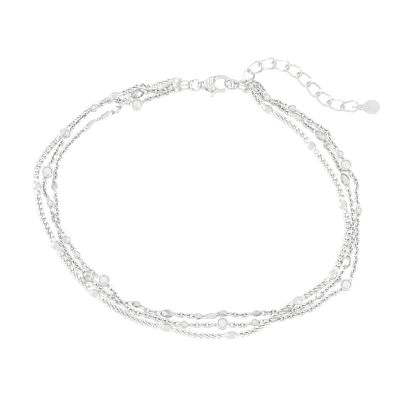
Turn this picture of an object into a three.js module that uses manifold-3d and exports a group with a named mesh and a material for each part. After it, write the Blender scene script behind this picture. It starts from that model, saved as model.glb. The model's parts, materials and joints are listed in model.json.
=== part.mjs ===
// A three-strand silver chain bracelet, closed by its lobster clasp and lying on a flat surface.
// Millimetres, +Z up. The surface is z = 0 and the origin is under the middle of the outline.
// The clasp is at the back (+Y), its tail points to -X and the extender chain lies out to +X.
import * as THREE from "three";
import { mergeVertices } from "three/addons/utils/BufferGeometryUtils.js";
import Module from "manifold-3d";

const wasm = await Module();
wasm.setup();

// ---------------------------------------------------------------- driving dimensions

const CHAIN_SIDES = 8;
const CHAIN_STEPS = 80;
const FACET_TOLERANCE = 0.01; // facets of a strand that are this close to flat become one
const FINE_RADIUS = 0.38; // the round chain of the bead and stone strands
const CURB_HALF_WIDTH = 0.62;
const CURB_HALF_HEIGHT = 0.34;

const PLATE = { halfLength: 1.1, halfWidth: 0.8, halfHeight: 0.42 };
const CUT_BEAD = { halfLength: 1.3, radius: 0.78 };
const SMALL_BEAD = { halfLength: 0.9, radius: 0.62 };
const BAR = { halfLength: 1.4, radius: 0.5 };
const SMALL_SETTING = { radius: 0.74, height: 0.95 };
const LARGE_SETTING = { radius: 1.2, height: 1.25, floor: 0.3, wall: 0.12 };
const STONE = { girdle: 0.97, table: 0.55, crown: 0.3, pavilion: 0.62 };
const STONE_GAP = 0.1; // between a stone and the floor of its setting

const WIRE_SIDES = 6;
const EYE = { radius: 0.42, wire: 0.13 }; // the closed loop at each end of a strand
const EYE_LEAD = 1.2; // how far a strand runs level from its eye

// The clasp is drawn round the middle of its hook's opening, +X towards the hook's far end.
const CLASP_AT = [2.7, 22.9, 1.4];
const OPENING = { halfLength: 1.25, halfWidth: 1.0 };
const HOOK = { halfBreadth: 0.45, halfThickness: 0.45, from: 168, to: -40 };
const GATE = { halfBreadth: 0.46, halfThickness: 0.4, from: 214, to: 301 };
const GATE_REACH = 3.44; // from the pivot to the hook's lip, just past the gate's tip
const PIVOT = { x: -2.1, y: -0.95 };
const RIVET_RADIUS = 0.25;
const RIVET_LENGTH = 1.7;
const BODY_HALF_THICKNESS = 0.98;
const SLOT_HALF_THICKNESS = 0.52;
const TAIL_EYE = { x: -3.75, y: -0.25, radius: 0.72, wire: 0.22 };
// The shoulder between the tail's eye and the hook, and the slot the lever turns in.
const SHOULDER_START = [-3.35, 0.35];
const SHOULDER = [
  { leave: [-2.6, 0.7], arrive: [-2.2, 1.45], to: [-0.95, 1.45] },
  { leave: [-1.35, 0.6], arrive: [-1.5, -0.4], to: [-1.0, -1.1] },
  { to: [-1.5, -1.75] },
  { leave: [-2.3, -1.75], arrive: [-2.7, -1.05], to: [-3.35, -0.85] },
];
const SHOULDER_BEVEL = 0.2;
const SLOT = { length: 2.4, width: 2.8, x: 0.48, y: -0.35 }; // its middle, from the pivot
// The lever's neck and thumb nub, from the pivot's boss round to it again.
const NECK_START = [-2.0, -0.45];
const NECK = [
  { to: [-1.15, -0.85] },
  { to: [-0.75, -1.75] },
  { to: [-1.2, -2.0] },
  { to: [-1.75, -2.75] },
  { to: [-2.05, -2.7] },
  { to: [-2.2, -1.45] },
];
const NECK_BEVEL = 0.08;
const BOSS_RADIUS = 0.58;
const BORE_RADIUS = 0.36;

// Rings lean about their own long axis from lying flat; then they turn about the vertical.
const CLASP_RING = { halfLength: 1.25, halfWidth: 1.25, wire: 0.2, lean: 50, turn: 0 };
const HOOK_RING = { halfLength: 1.32, halfWidth: 1.075, wire: 0.21, lean: 54, turn: -13.5 };
const HOOK_RING_AT = { x: 4.725, y: 22.825 };
const LINK_WIRE = 0.15;
const LINK_SLACK = 0.36; // the free play where a link hangs on a ring

const EXTENDER = { count: 10, halfLength: 1.66, halfWidth: 1.04, wire: 0.21, twist: 38 };
const TAG_RING = { halfLength: 0.82, halfWidth: 0.82, wire: 0.13, lean: 106, turn: -3 };
const TAG_RING_AT = [28.62, 18.33, 0.935];
// The tag lies on its far end, its near end propped up by the wire of its ring.
const TAG = { reach: 3.85, halfWidth: 1.48, neck: 0.6, thickness: 0.4, eyeRadius: 0.38 };
const TAG_AT = { x: 29.25, y: 18.42, tilt: 5.4, turn: 4 };

// ---------------------------------------------------------------- routes

// Each strand runs from its left end link round the front to its right end link.
// Columns: x and y of the chain's middle, how far its underside is lifted off the surface,
// and what sits on the chain there.
const CURB_ROUTE = [
  [-8.9, 22.9, 1.15],
  [-10.8, 22.3, 0.85],
  [-12.4, 22.75, 0.4],
  [-13.5, 22.6, 0],
  [-15.2, 21.8, 0],
  [-17.7, 20.8, 0, "plate"],
  [-20.3, 19.3, 0],
  [-23.0, 17.5, 0],
  [-27.5, 13.2, 0, "plate"],
  [-30.7, 9.3, 0],
  [-32.4, 5.8, 0],
  [-32.4, 2.4, 0, "plate"],
  [-31.3, -3.6, 0],
  [-28.7, -9.5, 0, "plate"],
  [-26.0, -13.9, 0],
  [-23.7, -16.8, 0],
  [-21.2, -19.2, 0, "plate"],
  [-17.6, -22.0, 0],
  [-12.7, -24.7, 0],
  [-7.6, -26.05, 0, "plate"],
  [-1.5, -27.5, 0],
  [4.6, -27.5, 0, "plate"],
  [8.4, -26.9, 0.15],
  [10.9, -25.6, 0.9],
  [12.8, -24.1, 1.05],
  [14.9, -22.4, 1.05],
  [17.1, -20.7, 0.4, "plate"],
  [20.6, -18.2, 0],
  [23.8, -15.4, 0, "plate"],
  [25.2, -12.0, 0],
  [25.95, -10.0, 0],
  [26.45, -8.0, 0],
  [26.55, -4.9, 0],
  [25.8, -1.3, 0, "plate"],
  [25.1, 1.7, 0],
  [23.5, 5.2, 0],
  [22.2, 7.3, 0],
  [19.9, 10.6, 0, "plate"],
  [17.1, 13.9, 0],
  [14.4, 16.2, 0],
  [11.6, 18.1, 0, "plate"],
  [10.1, 19.3, 0.15],
];

const BEAD_ROUTE = [
  [-8.6, 21.95, 0],
  [-10.8, 21.8, 0],
  [-13.3, 21.0, 0, "cut_bead"],
  [-15.55, 19.7, 1.0],
  [-16.4, 18.7, 0.42],
  [-17.2, 17.9, 0, "small_bead"],
  [-19.2, 16.8, 0, "bar"],
  [-22.0, 15.0, 0, "bar"],
  [-25.2, 12.1, 0],
  [-28.0, 8.3, 0],
  [-28.7, 5.2, 0],
  [-29.0, 2.4, 0, "small_bead"],
  [-28.6, -0.5, 0],
  [-28.4, -2.9, 0],
  [-28.15, -5.2, 0],
  [-27.8, -8.0, 0],
  [-27.0, -10.2, 0],
  [-25.35, -12.8, 0],
  [-22.5, -15.95, 0, "cut_bead"],
  [-19.8, -18.6, 0],
  [-17.1, -20.6, 0],
  [-15.6, -21.1, 0],
  [-13.3, -21.4, 0, "small_bead"],
  [-10.8, -22.7, 0],
  [-7.5, -23.3, 0, "cut_bead"],
  [-1.7, -23.8, 0, "small_bead"],
  [0.6, -23.7, 0, "bar"],
  [3.1, -23.2, 0, "small_bead"],
  [6.3, -23.5, 0],
  [9.3, -23.2, 0, "small_bead"],
  [13.7, -22.8, 0],
  [16.2, -22.55, 0],
  [19.6, -20.9, 0],
  [21.3, -19.6, 0, "small_bead"],
  [24.8, -16.3, 0],
  [26.4, -13.0, 0, "cut_bead"],
  [27.3, -9.8, 0],
  [27.65, -6.8, 0],
  [27.65, -4.0, 0],
  [27.3, -0.3, 0],
  [26.8, 1.9, 0],
  [26.3, 3.6, 0, "cut_bead"],
  [24.9, 6.6, 0],
  [24.2, 8.2, 0],
  [22.8, 10.6, 0, "small_bead"],
  [21.7, 12.5, 0, "cut_bead"],
  [19.0, 14.8, 0],
  [17.1, 16.5, 0, "bar"],
  [15.5, 17.35, 0],
  [14.3, 18.3, 0],
  [13.1, 19.2, 0],
  [11.7, 20.0, 0],
  [10.6, 20.7, 0.05],
  [9.9, 21.5, 0.6],
];

const STONE_ROUTE = [
  [-8.2, 21.1, 0.2],
  [-9.9, 20.6, 0],
  [-11.5, 20.0, 0],
  [-13.4, 18.9, 0, "large_setting"],
  [-15.2, 19.55, 0],
  [-16.7, 19.8, 0],
  [-17.7, 19.75, 0.75],
  [-18.6, 19.5, 0.95],
  [-21.6, 18.0, 0.8, "small_setting"],
  [-24.4, 15.5, 0.8],
  [-26.6, 12.7, 0.95, "small_setting"],
  [-28.9, 9.0, 0.15],
  [-30.4, 5.2, 0, "large_setting"],
  [-31.0, 2.0, 0],
  [-29.8, -1.1, 0, "small_setting"],
  [-29.3, -3.6, 0.2],
  [-28.5, -5.7, 0.85],
  [-27.7, -6.9, 0.95],
  [-26.95, -7.7, 0.5],
  [-26.4, -8.5, 0, "small_setting"],
  [-24.6, -11.45, 0, "small_setting"],
  [-22.7, -14.0, 0],
  [-19.5, -16.7, 0, "large_setting"],
  [-17.7, -19.0, 0.3],
  [-16.7, -20.5, 0.85],
  [-15.4, -22.0, 0.9],
  [-13.6, -22.9, 0.15],
  [-11.6, -23.5, 0],
  [-7.6, -24.75, 0],
  [-4.3, -25.4, 0, "small_setting"],
  [-0.2, -25.5, 0],
  [2.9, -25.3, 0, "large_setting"],
  [6.6, -25.5, 0],
  [9.0, -25.0, 0, "small_setting"],
  [13.2, -24.4, 0],
  [17.0, -23.4, 0],
  [20.2, -22.0, 0],
  [23.2, -19.7, 0],
  [26.3, -17.6, 0, "large_setting"],
  [27.8, -14.4, 0],
  [28.3, -11.6, 0],
  [28.5, -8.0, 0],
  [28.55, -5.4, 0],
  [28.8, -2.6, 0, "small_setting"],
  [28.4, 1.0, 0],
  [28.4, 3.3, 0.1],
  [26.4, 6.25, 0.9, "large_setting"],
  [25.4, 8.8, 0.2, "small_setting"],
  [23.6, 11.8, 0],
  [22.9, 13.5, 0],
  [19.9, 15.6, 0],
  [17.6, 17.4, 0],
  [16.4, 18.2, 0, "small_setting"],
  [15.0, 18.6, 0.8],
  [13.5, 19.3, 0.81],
  [11.5, 20.1, 0.85, "small_setting"],
  [10.9, 21.5, 1.0],
  [10.0, 22.7, 1.05],
];

// The extender's middle line, from where it hangs on an end link to the tag's ring.
const EXTENDER_ROUTE = [
  [7.45, 22.6, 2.55],
  [7.7, 24.3, 2.08],
  [8.25, 25.45, 1.6],
  [9.4, 26.5, 1.2],
  [11.6, 27.45, 0.8],
  [14.3, 27.3, 0.68],
  [16.7, 26.0, 0.68],
  [18.7, 24.2, 0.68],
  [20.4, 22.1, 0.68],
  [22.2, 20.1, 0.68],
  [24.4, 18.8, 0.68],
  [27.0, 18.4, 0.82],
  [28.85, 18.35, 1.34],
];

// Where each end link hangs round its ring, which way it points from there, and its own lean,
// length and height. The strand's eye sits in it eyeDrop below its middle, and the strand dips
// on its way out of the eye.
const LEFT_LINK = { lean: 70, halfLength: 1.3, halfHeight: 0.6, eyeDrop: 0, dip: 0 };
const RIGHT_LINK = { lean: 110, halfLength: 1.25, halfHeight: 0.6, eyeDrop: 0, dip: 0 };
const LEFT_END_LINKS = [
  { ...LEFT_LINK, angle: 141, heading: 174 },
  { ...LEFT_LINK, angle: 180, heading: 180 },
  { ...LEFT_LINK, angle: 219, heading: 186 },
];
const RIGHT_END_LINKS = [
  { ...RIGHT_LINK, angle: 44, heading: 7, lean: 98, halfHeight: 0.8, eyeDrop: 0.25, dip: 0.25 },
  { ...RIGHT_LINK, angle: 6, heading: -4, eyeDrop: 0.08 },
  { ...RIGHT_LINK, angle: -32, heading: -19, halfHeight: 0.68 },
];

const COLOUR = { silver: 0xdfe1e2, bright: 0xf0f1f2, stone: 0xf4f6f8 };

// ---------------------------------------------------------------- materials

function metal(colour, roughness) {
  return new THREE.MeshStandardMaterial({ color: colour, roughness, metalness: 1 });
}

const chainSilver = metal(COLOUR.silver, 0.3);
const polishedSilver = metal(COLOUR.bright, 0.18);
const clearStone = new THREE.MeshStandardMaterial({
  color: COLOUR.stone,
  roughness: 0.05,
  metalness: 0,
  transparent: true,
  opacity: 0.6,
});

// ---------------------------------------------------------------- solids

function radians(degrees) {
  return (degrees * Math.PI) / 180;
}

function toSolid(geometry) {
  const bare = (geometry.index ? geometry.toNonIndexed() : geometry).clone();
  bare.deleteAttribute("normal");
  bare.deleteAttribute("uv");
  const merged = mergeVertices(bare, 1e-4);
  return new wasm.Manifold(
    new wasm.Mesh({
      numProp: 3,
      vertProperties: new Float32Array(merged.attributes.position.array),
      triVerts: new Uint32Array(merged.index.array),
    }),
  );
}

function toGeometry(solid) {
  const mesh = solid.getMesh();
  const geometry = new THREE.BufferGeometry();
  geometry.setAttribute("position", new THREE.BufferAttribute(mesh.vertProperties, 3));
  geometry.setIndex(new THREE.BufferAttribute(mesh.triVerts, 1));
  const flat = geometry.toNonIndexed();
  flat.computeVertexNormals();
  return flat;
}

function join(geometries) {
  const solids = geometries.map(toSolid);
  return solids.slice(1).reduce((sum, next) => sum.add(next), solids[0]);
}

function named(name, geometry, material) {
  const mesh = new THREE.Mesh(geometry, material);
  mesh.name = name;
  return mesh;
}

// A closed link of wire in the XY plane, its long axis on X: two round ends and near-straight
// sides. The twist turns it about the long axis, from -twist at the -X end to +twist at +X.
class Oval extends THREE.Curve {
  constructor(halfLength, halfWidth, twist = 0) {
    super();
    Object.assign(this, { halfLength, halfWidth, twist });
  }

  getPoint(t, target = new THREE.Vector3()) {
    const angle = 2 * Math.PI * t;
    const across = this.halfWidth * Math.sin(angle);
    const endShift = THREE.MathUtils.clamp(2 * Math.cos(angle), -1, 1);
    const along = (this.halfLength - this.halfWidth) * endShift + this.halfWidth * Math.cos(angle);
    const twist = radians(this.twist) * (along / this.halfLength);
    return target.set(along, across * Math.cos(twist), across * Math.sin(twist));
  }
}

function wireOval({ halfLength, halfWidth, wire, twist }, steps) {
  const oval = new Oval(halfLength, halfWidth, twist);
  return new THREE.TubeGeometry(oval, steps, wire, WIRE_SIDES, true);
}

// A solid of revolution about Z from a profile of [radius, height] rows, axis to axis.
function turned(profile, sides) {
  const points = profile.map(([radius, height]) => new THREE.Vector2(radius, height));
  return new THREE.LatheGeometry(points, sides).rotateX(Math.PI / 2);
}

// ---------------------------------------------------------------- chain strands

// How high above the surface a piece's middle lies when it rests there; a setting stands on
// its own base, level with the chain's underside.
const REST_HEIGHT = {
  plate: PLATE.halfHeight,
  bar: BAR.radius,
  small_bead: SMALL_BEAD.radius,
  cut_bead: CUT_BEAD.radius,
};

// A smooth curve through its points that never dips below where the chain rests.
class LyingCurve extends THREE.CatmullRomCurve3 {
  constructor(points, lowest) {
    super(points, false, "catmullrom", 0.5);
    this.lowest = lowest;
  }

  getPoint(t, target = new THREE.Vector3()) {
    super.getPoint(t, target);
    return target.setZ(Math.max(target.z, this.lowest));
  }
}

class Strand {
  constructor(route, halfHeight, from, to) {
    const middles = route.map(([x, y, lift, piece]) => {
      const resting = Math.max(REST_HEIGHT[piece] ?? 0, halfHeight);
      return new THREE.Vector3(x, y, Math.max(lift + halfHeight, resting));
    });
    const points = [...from.lead, ...middles, ...to.lead.toReversed()];
    this.eyes = [from.eye, to.eye];
    this.curve = new LyingCurve(points, halfHeight);
    this.stations = route.flatMap(([, , , piece], i) => {
      const t = (i + from.lead.length) / (points.length - 1);
      return piece ? [{ piece, at: points[i + from.lead.length], way: this.curve.getTangent(t) }] : [];
    });
  }
}

// A shape that lies along X is turned to lie along the chain and moved onto it.
function onChain(geometry, { at, way }) {
  const heading = Math.atan2(way.y, way.x);
  const climb = Math.asin(THREE.MathUtils.clamp(way.z, -1, 1));
  return geometry.rotateY(-climb).rotateZ(heading).translate(at.x, at.y, at.z);
}

function chainTube(curve, halfWidth, halfHeight) {
  const section = new THREE.Shape();
  for (let i = 0; i < CHAIN_SIDES; i += 1) {
    const angle = (2 * Math.PI * (i + 0.5)) / CHAIN_SIDES;
    const corner = [halfHeight * Math.cos(angle), halfWidth * Math.sin(angle)];
    if (i === 0) section.moveTo(...corner);
    else section.lineTo(...corner);
  }
  section.closePath();
  return new THREE.ExtrudeGeometry(section, {
    steps: CHAIN_STEPS,
    extrudePath: curve,
    bevelEnabled: false,
  });
}

function eyeAt(point) {
  return new THREE.TorusGeometry(EYE.radius, EYE.wire, WIRE_SIDES, 12).translate(...point);
}

function plate() {
  return new THREE.SphereGeometry(1, 8, 5).scale(
    PLATE.halfLength,
    PLATE.halfWidth,
    PLATE.halfHeight,
  );
}

function bead({ halfLength, radius }, sides) {
  const profile = [
    [0, -halfLength],
    [radius * 0.75, -halfLength * 0.7],
    [radius, 0],
    [radius * 0.75, halfLength * 0.7],
    [0, halfLength],
  ];
  return turned(profile, sides).rotateY(Math.PI / 2);
}

// A setting stands upright on the surface below the chain, whatever the chain's slope.
function smallSetting() {
  const { radius, height } = SMALL_SETTING;
  const profile = [
    [0, 0],
    [radius * 0.8, 0],
    [radius, height * 0.5],
    [radius * 0.9, height],
    [0, height],
  ];
  return turned(profile, 8).translate(0, 0, -FINE_RADIUS);
}

function largeSetting() {
  const { radius, height, floor, wall } = LARGE_SETTING;
  const profile = [
    [0, 0],
    [radius * 0.85, 0],
    [radius, height * 0.6],
    [radius, height],
    [radius - wall, height],
    [radius - wall, floor + STONE.pavilion],
    [radius * 0.25, floor],
    [0, floor],
  ];
  return turned(profile, 12).translate(0, 0, -FINE_RADIUS);
}

const ON_CHAIN = {
  plate,
  bar: () => bead(BAR, 6),
  small_bead: () => bead(SMALL_BEAD, 8),
  cut_bead: () => bead(CUT_BEAD, 8),
};

function strandMesh(name, strand, halfWidth, halfHeight) {
  const threaded = strand.stations.filter(({ piece }) => piece in ON_CHAIN);
  const small = strand.stations.filter(({ piece }) => piece === "small_setting");
  const large = strand.stations.filter(({ piece }) => piece === "large_setting");
  let solid = join([
    chainTube(strand.curve, halfWidth, halfHeight),
    ...strand.eyes.map(eyeAt),
    ...threaded.map((station) => onChain(ON_CHAIN[station.piece](), station)),
    ...small.map(({ at }) => smallSetting().translate(...at)),
  ]);
  const { radius, height, floor } = LARGE_SETTING;
  for (const { at } of large) {
    const hollow = new THREE.CylinderGeometry(radius - 0.05, radius - 0.05, height, 12)
      .rotateX(Math.PI / 2)
      .translate(at.x, at.y, at.z - FINE_RADIUS + floor + height / 2);
    solid = solid.subtract(toSolid(hollow)).add(toSolid(largeSetting().translate(...at)));
  }
  const facets = solid.asOriginal().simplify(FACET_TOLERANCE);
  return named(name, toGeometry(facets), chainSilver);
}

// A round cut stone, girdle up in its setting with its point towards the floor.
function stoneMesh(name, at) {
  const base = at.z - FINE_RADIUS + LARGE_SETTING.floor + STONE_GAP;
  const profile = [
    [0, 0],
    [STONE.girdle, STONE.pavilion],
    [STONE.table, STONE.pavilion + STONE.crown],
    [0, STONE.pavilion + STONE.crown],
  ];
  return named(name, turned(profile, 12).translate(at.x, at.y, base), clearStone);
}

// ---------------------------------------------------------------- rings and links

// A ring's own place: leaned about its long axis, then pitched, then turned about Z.
function placeRing(mesh, at, { lean = 0, pitch = 0, turn = 0 }) {
  mesh.position.set(...at);
  mesh.rotation.set(radians(lean), radians(pitch), radians(turn), "ZYX");
  return mesh;
}

function ringMesh(name, at, ring) {
  return placeRing(named(name, wireOval(ring, 16), polishedSilver), at, ring);
}

// The point of a ring's wire at an angle round it, in the bracelet's frame.
function ringPoint(mesh, ring, angle) {
  mesh.updateMatrix();
  return new Oval(ring.halfLength, ring.halfWidth)
    .getPoint(angle / 360)
    .applyMatrix4(mesh.matrix);
}

// An end link stands on edge, with the ring's wire inside one end and a strand's eye in the
// other. It gives the eye's middle and the two points that lead the strand level out of it.
function endLink(name, ringHeld, ring, link) {
  const held = ringPoint(ringHeld, ring, link.angle);
  const way = new THREE.Vector3(Math.cos(radians(link.heading)), Math.sin(radians(link.heading)), 0);
  const reach = link.halfLength - LINK_WIRE - ring.wire - LINK_SLACK;
  const middle = held.clone().addScaledVector(way, reach);
  const shape = { halfLength: link.halfLength, halfWidth: link.halfHeight, wire: LINK_WIRE };
  const mesh = placeRing(named(name, wireOval(shape, 14), polishedSilver), middle, {
    lean: link.lean,
    turn: link.heading,
  });
  const straight = link.halfLength - link.halfHeight;
  const eye = middle.addScaledVector(way, straight + Math.sqrt(link.halfHeight ** 2 - link.eyeDrop ** 2));
  eye.z -= link.eyeDrop;
  const lead = [EYE.radius, EYE_LEAD].map((out) => eye.clone().addScaledVector(way, out));
  lead[1].z -= link.dip;
  return { mesh, eye, lead };
}

// The extender's links are spaced evenly along its route, each one lying along a chord of it.
function extenderLinks() {
  const route = new THREE.CatmullRomCurve3(
    EXTENDER_ROUTE.map((point) => new THREE.Vector3(...point)),
    false,
    "catmullrom",
    0.5,
  );
  const length = route.getLength();
  const pitch = (length - 2 * EXTENDER.halfLength) / (EXTENDER.count - 1);
  return Array.from({ length: EXTENDER.count }, (_, i) => {
    const near = route.getPointAt((i * pitch) / length);
    const far = route.getPointAt(Math.min(1, (i * pitch + 2 * EXTENDER.halfLength) / length));
    const way = far.clone().sub(near);
    return placeRing(
      named(`extender_link_${i + 1}`, wireOval(EXTENDER, 18), polishedSilver),
      near.add(far).multiplyScalar(0.5),
      {
        pitch: -THREE.MathUtils.radToDeg(Math.atan2(way.z, Math.hypot(way.x, way.y))),
        turn: THREE.MathUtils.radToDeg(Math.atan2(way.y, way.x)),
      },
    );
  });
}

function tagMesh() {
  const { reach, halfWidth, neck, thickness, eyeRadius } = TAG;
  const lobe = reach - halfWidth;
  const outline = new THREE.Shape();
  outline.absarc(0, 0, neck, Math.PI / 3, (5 * Math.PI) / 3, false);
  outline.bezierCurveTo(lobe * 0.5, -0.9, lobe * 0.55, -halfWidth, lobe, -halfWidth);
  outline.absarc(lobe, 0, halfWidth, -Math.PI / 2, Math.PI / 2, false);
  outline.bezierCurveTo(lobe * 0.55, halfWidth, lobe * 0.5, 0.9, neck / 2, neck * Math.sin(Math.PI / 3));
  const eye = new THREE.Path();
  eye.absarc(0, 0, eyeRadius, 0, 2 * Math.PI, true);
  outline.holes.push(eye);
  const geometry = new THREE.ExtrudeGeometry(outline, {
    depth: thickness,
    bevelEnabled: false,
    curveSegments: 7,
  });
  const { x, y, tilt, turn } = TAG_AT;
  const raised = reach * Math.sin(radians(tilt));
  return placeRing(named("tag", geometry, polishedSilver), [x, y, raised], { pitch: tilt, turn });
}

// ---------------------------------------------------------------- clasp

// An arm of the clasp: an oval section swept round the opening from one angle to another.
function armGeometry({ halfBreadth, halfThickness, from, to }, steps) {
  const points = [];
  for (let i = 0; i <= steps; i += 1) {
    const angle = radians(THREE.MathUtils.lerp(from, to, i / steps));
    const x = (OPENING.halfLength + halfBreadth) * Math.cos(angle);
    const y = (OPENING.halfWidth + halfBreadth) * Math.sin(angle);
    points.push(new THREE.Vector3(x, y, 0));
  }
  const section = new THREE.Shape();
  section.absellipse(0, 0, halfThickness, halfBreadth, 0, 2 * Math.PI, false, 0);
  return new THREE.ExtrudeGeometry(section, {
    steps,
    curveSegments: 4,
    extrudePath: new THREE.CatmullRomCurve3(points),
    bevelEnabled: false,
  });
}

function slab(outline, halfThickness, bevel) {
  return new THREE.ExtrudeGeometry(outline, {
    depth: 2 * (halfThickness - bevel),
    bevelEnabled: bevel > 0,
    bevelThickness: bevel,
    bevelSize: bevel,
    bevelOffset: -bevel,
    bevelSegments: 1,
    curveSegments: 5,
  }).translate(0, 0, bevel - halfThickness);
}

function upright(radius, height, sides, { x, y }) {
  return new THREE.CylinderGeometry(radius, radius, height, sides)
    .rotateX(Math.PI / 2)
    .translate(x, y, 0);
}

// An outline of straight and curved runs, each curved one with the points that pull it.
function outlined(start, runs) {
  const outline = new THREE.Shape().moveTo(...start);
  for (const { leave, arrive, to } of runs) {
    if (leave) outline.bezierCurveTo(...leave, ...arrive, ...to);
    else outline.lineTo(...to);
  }
  return outline;
}

function claspBodyMesh() {
  const slot = new THREE.BoxGeometry(SLOT.length, SLOT.width, 2 * SLOT_HALF_THICKNESS).translate(
    PIVOT.x + SLOT.x,
    PIVOT.y + SLOT.y,
    0,
  );
  const tailEye = new THREE.TorusGeometry(TAIL_EYE.radius, TAIL_EYE.wire, 8, 16).translate(
    TAIL_EYE.x,
    TAIL_EYE.y,
    0,
  );
  // The gate's tip swings up inside the hook's end, which is cut back to a lip that covers it.
  const belowOpening = new THREE.BoxGeometry(3, 3, 3).translate(1.5, -1.7, 0);
  const gateSweep = toSolid(upright(GATE_REACH, 3, 48, PIVOT)).intersect(toSolid(belowOpening));
  const hook = toSolid(armGeometry(HOOK, 14)).subtract(gateSweep);
  const shoulder = slab(outlined(SHOULDER_START, SHOULDER), BODY_HALF_THICKNESS, SHOULDER_BEVEL);
  const solid = toSolid(shoulder)
    .subtract(toSolid(slot))
    .add(toSolid(upright(RIVET_RADIUS, RIVET_LENGTH, 10, PIVOT)))
    .add(hook)
    .add(toSolid(tailEye));
  return named("clasp_body", toGeometry(solid), polishedSilver);
}

function claspLeverMesh() {
  const solid = toSolid(upright(BOSS_RADIUS, 2 * GATE.halfThickness, 14, PIVOT))
    .add(toSolid(slab(outlined(NECK_START, NECK), GATE.halfThickness, NECK_BEVEL)))
    .add(toSolid(armGeometry(GATE, 8)))
    .subtract(toSolid(upright(BORE_RADIUS, 2, 14, PIVOT)));
  return named("clasp_lever", toGeometry(solid), polishedSilver);
}

// ---------------------------------------------------------------- assembly

const bracelet = new THREE.Group();

const clasp = new THREE.Group();
clasp.position.set(...CLASP_AT);
clasp.add(claspBodyMesh(), claspLeverMesh());
bracelet.add(clasp);

const claspRing = ringMesh(
  "clasp_ring",
  [CLASP_AT[0] + TAIL_EYE.x - CLASP_RING.halfLength, CLASP_AT[1] + TAIL_EYE.y, CLASP_AT[2]],
  CLASP_RING,
);
const hookRing = ringMesh("hook_ring", [HOOK_RING_AT.x, HOOK_RING_AT.y, CLASP_AT[2]], HOOK_RING);
bracelet.add(claspRing, hookRing);

const left = LEFT_END_LINKS.map((link, i) =>
  endLink(`end_link_left_${i + 1}`, claspRing, CLASP_RING, link),
);
const right = RIGHT_END_LINKS.map((link, i) =>
  endLink(`end_link_right_${i + 1}`, hookRing, HOOK_RING, link),
);
bracelet.add(...left.map(({ mesh }) => mesh), ...right.map(({ mesh }) => mesh));

const curb = new Strand(CURB_ROUTE, CURB_HALF_HEIGHT, left[0], right[2]);
const beads = new Strand(BEAD_ROUTE, FINE_RADIUS, left[1], right[1]);
const stones = new Strand(STONE_ROUTE, FINE_RADIUS, left[2], right[0]);
bracelet.add(
  strandMesh("curb_strand", curb, CURB_HALF_WIDTH, CURB_HALF_HEIGHT),
  strandMesh("stone_strand", stones, FINE_RADIUS, FINE_RADIUS),
  strandMesh("bead_strand", beads, FINE_RADIUS, FINE_RADIUS),
);
stones.stations
  .filter(({ piece }) => piece === "large_setting")
  .forEach(({ at }, i) => bracelet.add(stoneMesh(`stone_${i + 1}`, at)));

bracelet.add(...extenderLinks());
bracelet.add(ringMesh("tag_ring", TAG_RING_AT, TAG_RING), tagMesh());

export default bracelet;
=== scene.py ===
"""The looks of a three-strand silver chain bracelet that lies closed on a pale floor.

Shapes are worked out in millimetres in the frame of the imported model, and become metres only
when a piece is made. Along a chain, X runs with it, Y lies across it and Z points up.
"""
import json
import math

import bmesh
import bpy
import numpy as np
from mathutils import Matrix, Vector


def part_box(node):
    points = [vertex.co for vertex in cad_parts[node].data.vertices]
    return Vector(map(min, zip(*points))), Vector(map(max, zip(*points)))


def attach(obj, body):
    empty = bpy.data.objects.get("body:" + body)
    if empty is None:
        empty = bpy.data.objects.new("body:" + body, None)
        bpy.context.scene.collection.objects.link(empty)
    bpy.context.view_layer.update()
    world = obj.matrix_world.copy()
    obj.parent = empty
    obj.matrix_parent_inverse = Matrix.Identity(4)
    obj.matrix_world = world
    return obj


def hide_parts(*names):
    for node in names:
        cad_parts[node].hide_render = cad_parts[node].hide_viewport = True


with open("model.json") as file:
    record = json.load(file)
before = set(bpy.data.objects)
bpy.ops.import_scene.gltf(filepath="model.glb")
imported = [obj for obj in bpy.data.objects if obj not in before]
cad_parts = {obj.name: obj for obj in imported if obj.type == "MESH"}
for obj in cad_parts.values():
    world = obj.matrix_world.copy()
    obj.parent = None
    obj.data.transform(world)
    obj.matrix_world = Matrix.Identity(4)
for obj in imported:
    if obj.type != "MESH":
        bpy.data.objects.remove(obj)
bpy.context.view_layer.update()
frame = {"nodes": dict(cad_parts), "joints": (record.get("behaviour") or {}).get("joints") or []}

MM = 0.001
CORNER_DIGITS = 7  # of a metre, to which corners of a CAD node are rounded so that each counts once

# ---------------------------------------------------------------- driving dimensions

CAMERA = {
    "elevation": 70,
    "aim": (-1.33, -0.38, 0.5),
    "width_seen": 76.0,
    "lens": 600.0,
    "sensor": 36.0,
    "clip": (0.01, 10.0),
}
FLOOR = {"size": 3.0, "grey": 0.4, "roughness": 0.9, "glow": 0.78}
# The sky's grey from the horizon up, by the sine of the height above it.
SKY = [(0.0, 0.8), (0.25, 0.97), (0.7, 1.0)]
# Soft lights: name, size and place in metres, power in watts.
LIGHTS = [
    ("key", (0.3, 0.2), (-0.45, 0.25, 0.55), 0.8),
    ("fill", (0.25, 0.2), (0.5, -0.15, 0.45), 0.5),
]

FINE_RADIUS = 0.38  # half the height of the bead and stone strands' chain
CURB_HALF_HEIGHT = 0.34
CURB_LINK = {"pitch": 1.1, "half_width": 0.42, "wire": 0.215, "slack": 0.03, "twist": 46}
CURB_CUT_HEIGHT = 0.31  # the curb links are cut flat at this height above and below
CABLE_LINK = {"pitch": 0.94, "half_width": 0.4, "wire": 0.17, "slack": 0.03, "roll": 37}
EYE = {"radius": 0.42, "wire": 0.13, "lead": 1.2}
STRAND_SAMPLES = 8000
BEND_REACH = 0.2  # a chain's direction at a place is taken this far before and after it

PLATE = {"half_length": 1.1, "half_width": 0.8, "half_height": 0.34, "sunk": 0.05}
PLATE_RIM = {"roundness": 0.55, "bands": 12, "sides": 28}
CUT_BEAD = {"half_length": 1.3, "radius": 0.84, "sides": 8}
SMALL_BEAD = {"half_length": 0.9, "radius": 0.64, "sides": 7}
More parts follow.
